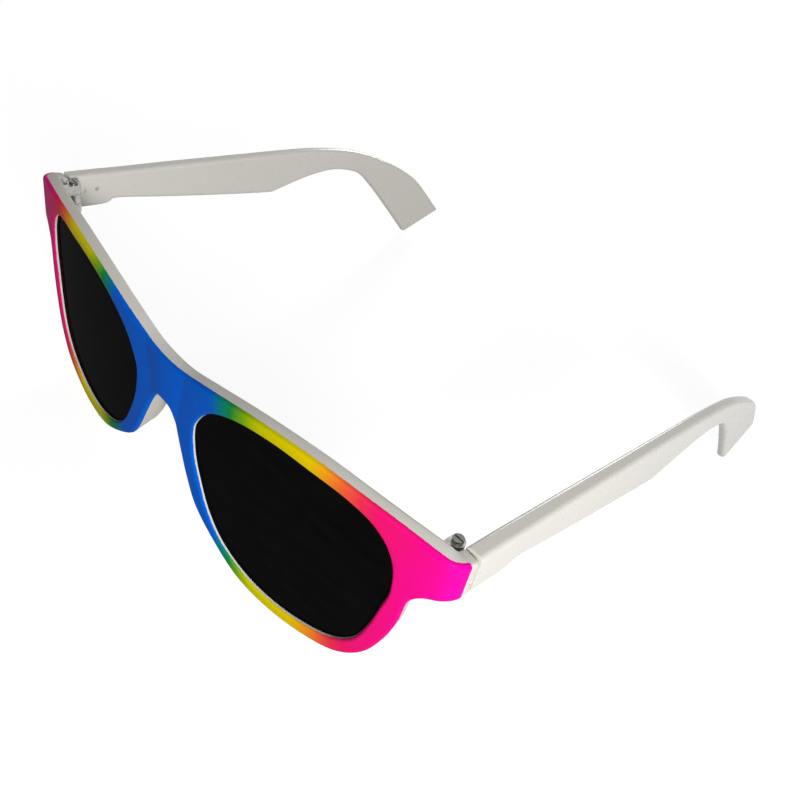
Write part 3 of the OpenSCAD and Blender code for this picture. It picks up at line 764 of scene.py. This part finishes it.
class Tree:
    """A node tree with short ways to add and join nodes."""

    def __init__(self, tree):
        self.nodes = tree.nodes
        self.links = tree.links

    def node(self, kind, inputs=None, **settings):
        made = self.nodes.new(kind)
        for key, value in settings.items():
            setattr(made, key, value)
        for key, value in (inputs or {}).items():
            if isinstance(value, bpy.types.NodeSocket):
                self.links.new(value, made.inputs[key])
            else:
                made.inputs[key].default_value = value
        return made

    def math(self, operation, first, second):
        return self.node("ShaderNodeMath", {0: first, 1: second}, operation=operation).outputs[0]

    def noise(self, scale, detail, stretch=(1, 1, 1)):
        """Noise in object space; scale is in features per metre."""
        where = self.node("ShaderNodeTexCoord").outputs["Object"]
        if stretch != (1, 1, 1):
            where = self.node("ShaderNodeMapping", {"Vector": where, "Scale": stretch}).outputs[0]
        values = {"Vector": where, "Scale": scale, "Detail": detail}
        return self.node("ShaderNodeTexNoise", values).outputs["Fac"]

    def between(self, value, low, high, new_low, new_high):
        inputs = {"Value": value, "From Min": low, "From Max": high,
                  "To Min": new_low, "To Max": new_high}
        return self.node("ShaderNodeMapRange", inputs).outputs[0]

    def vary(self, scale, detail, low, high):
        """A value that wanders between low and high with a noise of its own."""
        return self.between(self.noise(scale, detail), *NOISE_MIDDLE, low, high)

    def ramp(self, value, stops):
        made = self.node("ShaderNodeValToRGB", {"Fac": value})
        band = made.color_ramp
        stops = list(stops)
        while len(band.elements) < len(stops):
            band.elements.new(1.0)
        for element, (position, tint) in zip(band.elements, stops):
            element.position = position
            element.color = tint
        return made.outputs["Color"]

    def blend(self, share, first, second):
        made = self.node("ShaderNodeMix", {"Factor": share}, data_type="RGBA")
        for socket, value in (("A", first), ("B", second)):
            target = [s for s in made.inputs if s.name == socket and s.type == "RGBA"][0]
            if isinstance(value, bpy.types.NodeSocket):
                self.links.new(value, target)
            else:
                target.default_value = value
        return [s for s in made.outputs if s.type == "RGBA"][0]


# Refraction of the clear coats, and roughness of the base under them
COAT_IOR = 1.5
UNDER_COAT_ROUGHNESS = 0.5


class Finish(Tree):
    """A material built round one principled shader."""

    def __init__(self, name):
        self.material = bpy.data.materials.new(name)
        self.material.use_nodes = True
        super().__init__(self.material.node_tree)
        self.shader = self.nodes["Principled BSDF"]

    def set(self, **values):
        for key, value in values.items():
            self.shader.inputs[key.replace("_", " ")].default_value = value

    def join(self, socket, value):
        self.links.new(value, self.shader.inputs[socket])

    def coat(self, weight):
        """A plain base without gloss of its own, under a clear coat."""
        self.set(Specular_IOR_Level=0.0, Roughness=UNDER_COAT_ROUGHNESS)
        self.set(Coat_Weight=weight, Coat_IOR=COAT_IOR)

    def bump(self, height, depth_mm, strength):
        inputs = {"Height": height, "Distance": depth_mm * MM, "Strength": strength}
        self.join("Normal", self.node("ShaderNodeBump", inputs).outputs[0])


# Colours of the sprayed paint, in the order in which they follow each other
BLUE = colour(0, 98, 217)
TEAL = colour(0, 128, 150)
GREEN = colour(15, 147, 58)
LIME = colour(130, 180, 10)
YELLOW = colour(208, 206, 0)
GOLD = colour(238, 207, 0)
AMBER = colour(251, 168, 22)
ORANGE = colour(249, 106, 50)
RED = colour(245, 50, 80)
PINK = colour(249, 22, 110)
ROSE = colour(251, 8, 140)
MAGENTA = colour(252, 6, 170)

# Where each colour lies, by its distance from the middle in millimetres
RAINBOW = [
    (0.0, BLUE), (18.0, BLUE), (20.8, TEAL), (24.0, GREEN), (27.2, LIME), (31.0, YELLOW),
    (43.0, GOLD), (46.0, AMBER), (50.0, ORANGE), (53.5, RED), (57.0, PINK), (65.0, ROSE),
    (76.0, MAGENTA),
]
RAINBOW_END = 80.0

# Millimetres by which the bands wander, by which the paint's edge is ragged and over
# which it fades, and the share of fine waves in its skin
SPRAY_DRIFT = 0.9
PAINT_RAGGED = 0.05
PAINT_FADE = 0.04
PAINT_WAVES = 0.3

# Weights of the glossy coats, and the refraction of the bare plastic
PAINT_COAT = 0.06
LENS_COAT = 0.026
PLASTIC_IOR = 1.49

# Roughness of each skin, from its smoothest to its roughest places
PLASTIC_ROUGHNESS = (0.26, 0.3)
PAINT_ROUGHNESS = (0.08, 0.14)
LENS_ROUGHNESS = (0.03, 0.08)
FILM_ROUGHNESS = (0.29, 0.33)

# Colours of the plastic and the lenses, in pairs between which they vary, then the film's pair of
# painted sheen tints, bluish and rosy, that stand in for the colours its lines split from the
# light
PLASTIC = colour(226, 223, 215)
PLASTIC_SHADE = colour(223, 220, 211)
LENS_BLACK = colour(6, 6, 7)
LENS_SMEAR = colour(11, 11, 13)
PAINTED_SHEEN_BLUISH = colour(205, 215, 225)
PAINTED_SHEEN_ROSY = colour(225, 215, 230)

# The film's refraction, and the layer in nanometres that gives its play of colours
FILM_IOR = 1.5
PLAY_LAYER = 480.0
PLAY_IOR = 1.35

# Tone, roughness and stretch of the grain for each kind of metal piece
METALS = {
    "hinge": ((205, 203, 198), 0.32, (1, 1, 6)),
    "screw": ((140, 140, 138), 0.28, (1, 1, 1)),
    "rivet": ((198, 196, 191), 0.34, (1, 1, 1)),
}
METAL_DARK = 0.72


def moulded_plastic(name):
    """Glossy off-white moulded plastic with faint clouding and a slightly uneven skin."""
    finish = Finish(name)
    cloud = finish.between(finish.noise(scale=18, detail=2), 0.25, 0.75, 0, 1)
    finish.join("Base Color", finish.blend(cloud, PLASTIC, PLASTIC_SHADE))
    finish.join("Roughness", finish.vary(160, 3, *PLASTIC_ROUGHNESS))
    finish.bump(finish.noise(scale=70, detail=1), depth_mm=0.03, strength=0.1)
    finish.set(Specular_IOR_Level=0.3, IOR=PLASTIC_IOR)
    return finish


def painted_plastic():
    """The same plastic under a sprayed band of colours, with a coat over all of it."""
    finish = Finish("front_paint")
    span = finish.node("ShaderNodeAttribute", attribute_name="span").outputs["Fac"]
    inside = finish.node("ShaderNodeAttribute", attribute_name="paint").outputs["Fac"]
    drift = finish.vary(90, 3, -SPRAY_DRIFT, SPRAY_DRIFT)
    share = finish.math("DIVIDE", finish.math("ADD", span, drift), RAINBOW_END)
    spray = finish.ramp(share, [(reach / RAINBOW_END, tint) for reach, tint in RAINBOW])
    ragged = finish.vary(1500, 4, -PAINT_RAGGED, PAINT_RAGGED)
    cover = finish.between(finish.math("ADD", inside, ragged), -PAINT_FADE, PAINT_FADE, 0, 1)
    cloud = finish.between(finish.noise(scale=60, detail=4), 0.35, 0.65, 0, 1)
    plastic = finish.blend(cloud, PLASTIC, PLASTIC_SHADE)
    finish.join("Base Color", finish.blend(cover, plastic, spray))
    finish.join("Coat Roughness", finish.vary(300, 3, *PAINT_ROUGHNESS))
    waves = finish.math("MULTIPLY", finish.noise(scale=140, detail=1), PAINT_WAVES)
    finish.bump(finish.math("ADD", waves, cover), depth_mm=0.02, strength=0.3)
    finish.coat(PAINT_COAT)
    return finish


def dark_lens():
    """Near-black lens with faint wiping marks in its gloss."""
    finish = Finish("lens_black")
    smear = finish.noise(scale=120, detail=6, stretch=(1, 1, 3))
    finish.join("Base Color", finish.ramp(smear, zip(NOISE_MIDDLE, (LENS_BLACK, LENS_SMEAR))))
    finish.join("Coat Roughness", finish.between(smear, 0.35, 0.75, *LENS_ROUGHNESS))
    finish.bump(finish.noise(scale=35, detail=2), depth_mm=0.04, strength=0.25)
    finish.coat(LENS_COAT)
    return finish


def clear_film():
    """Thin clear satin film, with lines too fine to see, a faint play of colours from its thin
    layer, and a painted sheen of bluish and rosy tints.
    """
    finish = Finish("film_clear")
    ripple_and_painted_sheen = finish.noise(scale=50, detail=2)
    # Painted sheen: the film's tint wanders between bluish and rosy in place of the colours that
    # its lines split from the light
    finish.join("Base Color", finish.ramp(ripple_and_painted_sheen, zip(NOISE_MIDDLE, (PAINTED_SHEEN_BLUISH, PAINTED_SHEEN_ROSY))))
    finish.join("Roughness", finish.between(ripple_and_painted_sheen, *NOISE_MIDDLE, *FILM_ROUGHNESS))
    finish.bump(finish.noise(scale=30, detail=1), depth_mm=0.04, strength=0.2)
    finish.set(Transmission_Weight=1.0, IOR=FILM_IOR)
    finish.set(Thin_Film_Thickness=PLAY_LAYER, Thin_Film_IOR=PLAY_IOR)
    return finish


def bright_metal(name, tone, roughness, stretch):
    """Stamped or turned metal with fine grain along one direction and dull spots."""
    finish = Finish(name)
    grain = finish.noise(scale=1200, detail=6, stretch=stretch)
    dark = colour(*[value * METAL_DARK for value in tone])
    finish.join("Base Color", finish.ramp(grain, [(0.25, dark), (0.75, colour(*tone))]))
    finish.join("Roughness", finish.vary(500, 4, roughness - 0.07, roughness + 0.1))
    finish.bump(grain, depth_mm=0.01, strength=0.4)
    finish.set(Metallic=1.0)
    return finish


def dress_metal(node_name, finish):
    """Gives a CAD node its metal, and breaks its sharp edges."""
    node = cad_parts[node_name]
    for number in range(len(node.material_slots)):
        node.material_slots[number].material = finish.material
    round_edges(node, "broken_edges", METAL_EDGE_R, METAL_EDGE_SEGMENTS, METAL_EDGE_ANGLE)


def finish_piece(piece, finish, body, node):
    """Gives a piece its finish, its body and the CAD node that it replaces."""
    piece.data.materials.append(finish.material)
    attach(piece, body)
    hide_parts(node)


# The floor: its width in metres, and the two greys between which it varies
FLOOR_SIZE = 6.0
FLOOR_DARK = colour(124, 124, 124)
FLOOR_PALE = colour(130, 130, 130)

# Light of the world on the object, and the strengths at which the background shows
WORLD_LIGHT = 0.15
SHOWN_SKY = 0.97
FLOOR_GLOW = 0.89

# Where each lamp stands, the width of its square and its power, in metres and watts
LAMPS = {
    "key": ((0.38, -0.26, 0.19), 0.12, 2.0),
    "behind": ((-0.46, 0.69, 0.26), 0.25, 3.5),
}
LIT_PLACE = (0, 0, 0.03)

# The camera: its place and the point it looks at in metres, its turn about the line
# between them, its sensor and focal length in millimetres, and where its view starts
CAMERA_PLACE = (0.1134, -0.1468, 0.147)
CAMERA_AIM = (0.019, -0.0256, 0.022)
CAMERA_ROLL = math.radians(14.4)
SENSOR_W = 36.0
FOCAL_LENGTH = 37.5
VIEW_START = 0.01


def seen_share(tree, strength):
    """The strength for rays that show the background: seen straight, mirrored or through."""
    rays = tree.node("ShaderNodeLightPath").outputs
    seen = tree.math("MAXIMUM", rays["Is Camera Ray"], rays["Is Glossy Ray"])
    seen = tree.math("MAXIMUM", seen, rays["Is Transmission Ray"])
    return tree.math("MULTIPLY", seen, strength)


def make_stage():
    """Plain pale floor under the glasses."""
    bpy.ops.mesh.primitive_plane_add(size=FLOOR_SIZE, location=(0, 0, 0))
    floor = bpy.context.object
    floor.name = "floor"
    finish = Finish("floor_pale")
    cloud = finish.noise(scale=3, detail=2)
    finish.join("Base Color", finish.ramp(cloud, zip(NOISE_MIDDLE, (FLOOR_DARK, FLOOR_PALE))))
    finish.set(Roughness=0.9, Specular_IOR_Level=0.1)
    glow = finish.node("ShaderNodeEmission", {"Strength": seen_share(finish, FLOOR_GLOW)})
    both = finish.node("ShaderNodeAddShader")
    finish.links.new(finish.shader.outputs[0], both.inputs[0])
    finish.links.new(glow.outputs[0], both.inputs[1])
    finish.links.new(both.outputs[0], finish.nodes["Material Output"].inputs["Surface"])
    floor.data.materials.append(finish.material)


def aim(thing, target_m, roll=0.0):
    """Turns a lamp or the camera to a point, with its own top upwards apart from a roll."""
    direction = Vector(target_m) - Vector(thing.location)
    turn = direction.to_track_quat("-Z", "Y") @ Quaternion((0, 0, 1), roll)
    thing.rotation_euler = turn.to_euler()


def make_lamp(name, place_m, width_m, watts):
    """A square lamp that lights the glasses."""
    data = bpy.data.lights.new(name, "AREA")
    data.shape = "SQUARE"
    data.size = width_m
    data.energy = watts
    lamp = bpy.data.objects.new(name, data)
    lamp.location = place_m
    aim(lamp, LIT_PLACE)
    bpy.context.scene.collection.objects.link(lamp)


def make_light():
    """A pale even world and two lamps, one by the camera's right and one behind."""
    world = bpy.data.worlds.new("studio")
    world.use_nodes = True
    sky = Tree(world.node_tree)
    shown = seen_share(sky, SHOWN_SKY - WORLD_LIGHT)
    strength = sky.math("ADD", shown, WORLD_LIGHT)
    sky.links.new(strength, sky.nodes["Background"].inputs["Strength"])
    sky.nodes["Background"].inputs["Color"].default_value = (1.0, 1.0, 1.0, 1.0)
    bpy.context.scene.world = world
    for name, (place_m, width_m, watts) in LAMPS.items():
        make_lamp(name, place_m, width_m, watts)


def make_camera():
    """The photograph's direction and nearness, with the glasses in the middle."""
    data = bpy.data.cameras.new("camera")
    camera = bpy.data.objects.new("camera", data)
    camera.location = CAMERA_PLACE
    aim(camera, CAMERA_AIM, CAMERA_ROLL)
    data.sensor_width = SENSOR_W
    data.lens = FOCAL_LENGTH
    data.clip_start = VIEW_START
    bpy.context.scene.collection.objects.link(camera)
    bpy.context.scene.camera = camera


def build():
    """All the pieces, with their finishes, each on its body and in place of its CAD node."""
    front = make_front()
    finish_piece(front, painted_plastic(), "front", "front_frame")
    arm_finish = moulded_plastic("arm_plastic")
    lens_finish, film_finish = dark_lens(), clear_film()
    metals = {kind: bright_metal(f"{kind}_metal", *looks) for kind, looks in METALS.items()}
    lens_near = GROOVE_LIP + LEAF_GAP
    film_near = lens_near + LENS_T + LEAF_GAP
    margin = GROOVE_D - LENS_GAP
    for side_name, side in SIDES.items():
        lens = make_plate(f"lens_{side_name}_plate", margin, lens_near, lens_near + LENS_T, side)
        finish_piece(lens, lens_finish, "front", f"lens_{side_name}")
        film = make_plate(f"film_{side_name}_sheet", margin, film_near, film_near + FILM_T, side)
        finish_piece(film, film_finish, "front", f"grating_film_{side_name}")
        arm = make_arm(side_name)
        finish_piece(arm, arm_finish, f"arm_{side_name}", f"temple_{side_name}")
        dress_metal(f"front_hinge_{side_name}", metals["hinge"])
        dress_metal(f"temple_hinge_{side_name}", metals["hinge"])
        dress_metal(f"hinge_screw_{side_name}", metals["screw"])
        dress_metal(f"front_rivets_{side_name}", metals["rivet"])
        dress_metal(f"temple_rivets_{side_name}", metals["rivet"])


make_camera()
build()
make_stage()
make_light()
bpy.context.scene.view_settings.view_transform = "Standard"
